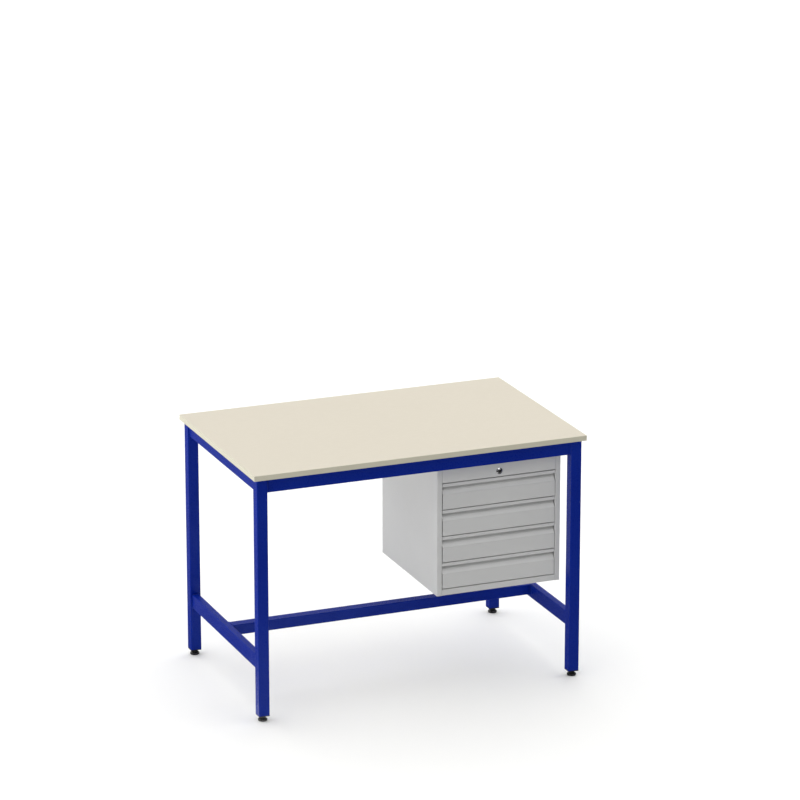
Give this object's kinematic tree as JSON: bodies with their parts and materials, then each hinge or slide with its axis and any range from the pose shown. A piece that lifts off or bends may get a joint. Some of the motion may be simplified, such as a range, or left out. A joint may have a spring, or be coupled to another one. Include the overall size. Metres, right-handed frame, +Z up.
{
  "type": "workbench with drawers",
  "caption": "Welded box-section steel workbench with a laminate-faced top, screw-in levelling feet and a hanging lockable drawer cabinet on full-extension runners.",
  "frame": {"origin": "on the floor under the middle of the worktop", "axes": "+Z up, +X along the width to the user's right, -Y towards the user, so the drawers open along -Y"},
  "size_m": [1.2, 0.75, 0.872],
  "materials": {
    "frame_blue": "satin powder coat",
    "cabinet_grey": "fine satin powder coat",
    "cream_laminate": "satin laminate",
    "cream_edging": "satin edge band",
    "backing_laminate": "matte backing",
    "board_core": "pressed chipboard",
    "black_plastic": "moulded",
    "zinc_steel": "bright zinc plate",
    "lock_chrome": "polished",
    "lock_barrel_steel": "nickel plate"
  },
  "bodies": {
    "root": {"cabinet_back": "cabinet_grey", "cabinet_base": "cabinet_grey", "cabinet_bolts": "zinc_steel", "cabinet_lock_rail": "cabinet_grey", "cabinet_side_left": "cabinet_grey", "cabinet_side_right": "cabinet_grey", "cabinet_top": "cabinet_grey", "edge_band_back": "cream_edging", "edge_band_front": "cream_edging", "edge_band_left": "cream_edging", "edge_band_right": "cream_edging", "hanger_bearer_left": "frame_blue", "hanger_bearer_right": "frame_blue", "leg_back_left": "frame_blue", "leg_back_right": "frame_blue", "leg_end_inserts": "black_plastic", "leg_front_left": "frame_blue", "leg_front_right": "frame_blue", "lock_bar_guides": "zinc_steel", "lock_housing": "lock_chrome", "lock_rod_hanger": "zinc_steel", "lower_rail_left": "frame_blue", "lower_rail_right": "frame_blue", "lower_stretcher": "frame_blue", "runner_outer_left": "zinc_steel", "runner_outer_right": "zinc_steel", "runner_posts": "zinc_steel", "runner_screws": "zinc_steel", "top_rail_back": "frame_blue", "top_rail_front": "frame_blue", "top_rail_left": "frame_blue", "top_rail_right": "frame_blue", "worktop_backing_laminate": "backing_laminate", "worktop_core": "board_core", "worktop_fixing_lugs": "frame_blue", "worktop_screws": "zinc_steel", "worktop_top_laminate": "cream_laminate"},
    "drawer_1": {"drawer_1_front": "cabinet_grey", "drawer_1_tray": "cabinet_grey", "drawer_1_runner_inner": "zinc_steel"},
    "drawer_1_middle": {"drawer_1_runner_middle": "zinc_steel"},
    "drawer_2": {"drawer_2_front": "cabinet_grey", "drawer_2_tray": "cabinet_grey", "drawer_2_runner_inner": "zinc_steel"},
    "drawer_2_middle": {"drawer_2_runner_middle": "zinc_steel"},
    "drawer_3": {"drawer_3_front": "cabinet_grey", "drawer_3_tray": "cabinet_grey", "drawer_3_runner_inner": "zinc_steel"},
    "drawer_3_middle": {"drawer_3_runner_middle": "zinc_steel"},
    "drawer_4": {"drawer_4_front": "cabinet_grey", "drawer_4_tray": "cabinet_grey", "drawer_4_runner_inner": "zinc_steel"},
    "drawer_4_middle": {"drawer_4_runner_middle": "zinc_steel"},
    "lock_barrel": {"lock_barrel": "lock_barrel_steel", "lock_rod": "zinc_steel"},
    "lock_bar": {"lock_bar": "zinc_steel"},
    "foot_front_left": {"foot_front_left": "black_plastic"},
    "foot_front_right": {"foot_front_right": "black_plastic"},
    "foot_back_left": {"foot_back_left": "black_plastic"},
    "foot_back_right": {"foot_back_right": "black_plastic"}
  },
  "joints": [
    {"name": "drawer_1_slide", "type": "slide", "parent": "root", "child": "drawer_1", "axis": [0, -1, 0], "range_m": [0, 0.4]},
    {"name": "drawer_1_middle_slide", "type": "slide", "parent": "root", "child": "drawer_1_middle", "axis": [0, -1, 0], "range_m": [0, 0.2]},
    {"name": "drawer_2_slide", "type": "slide", "parent": "root", "child": "drawer_2", "axis": [0, -1, 0], "range_m": [0, 0.4]},
    {"name": "drawer_2_middle_slide", "type": "slide", "parent": "root", "child": "drawer_2_middle", "axis": [0, -1, 0], "range_m": [0, 0.2]},
    {"name": "drawer_3_slide", "type": "slide", "parent": "root", "child": "drawer_3", "axis": [0, -1, 0], "range_m": [0, 0.4]},
    {"name": "drawer_3_middle_slide", "type": "slide", "parent": "root", "child": "drawer_3_middle", "axis": [0, -1, 0], "range_m": [0, 0.2]},
    {"name": "drawer_4_slide", "type": "slide", "parent": "root", "child": "drawer_4", "axis": [0, -1, 0], "range_m": [0, 0.4]},
    {"name": "drawer_4_middle_slide", "type": "slide", "parent": "root", "child": "drawer_4_middle", "axis": [0, -1, 0], "range_m": [0, 0.2]},
    {"name": "lock_turn", "type": "hinge", "parent": "root", "child": "lock_barrel", "pos_m": [0.2965, -0.335, 0.7695], "axis": [0, 1, 0], "range_deg": [0, 90]},
    {"name": "lock_bar_lift", "type": "slide", "parent": "root", "child": "lock_bar", "axis": [0, 0, 1], "range_m": [0, 0.007]},
    {"name": "foot_front_left_screw", "type": "slide", "parent": "root", "child": "foot_front_left", "axis": [0, 0, -1], "range_m": [0, 0.012]},
    {"name": "foot_front_right_screw", "type": "slide", "parent": "root", "child": "foot_front_right", "axis": [0, 0, -1], "range_m": [0, 0.012]},
    {"name": "foot_back_left_screw", "type": "slide", "parent": "root", "child": "foot_back_left", "axis": [0, 0, -1], "range_m": [0, 0.012]},
    {"name": "foot_back_right_screw", "type": "slide", "parent": "root", "child": "foot_back_right", "axis": [0, 0, -1], "range_m": [0, 0.012]}
  ],
  "couplings": [
    {"joint": "drawer_1_middle_slide", "follows": "drawer_1_slide", "ratio": 0.5},
    {"joint": "drawer_2_middle_slide", "follows": "drawer_2_slide", "ratio": 0.5},
    {"joint": "drawer_3_middle_slide", "follows": "drawer_3_slide", "ratio": 0.5},
    {"joint": "drawer_4_middle_slide", "follows": "drawer_4_slide", "ratio": 0.5},
    {"joint": "lock_turn", "follows": "lock_bar_lift", "rad_per_m": 224.39}
  ]
}
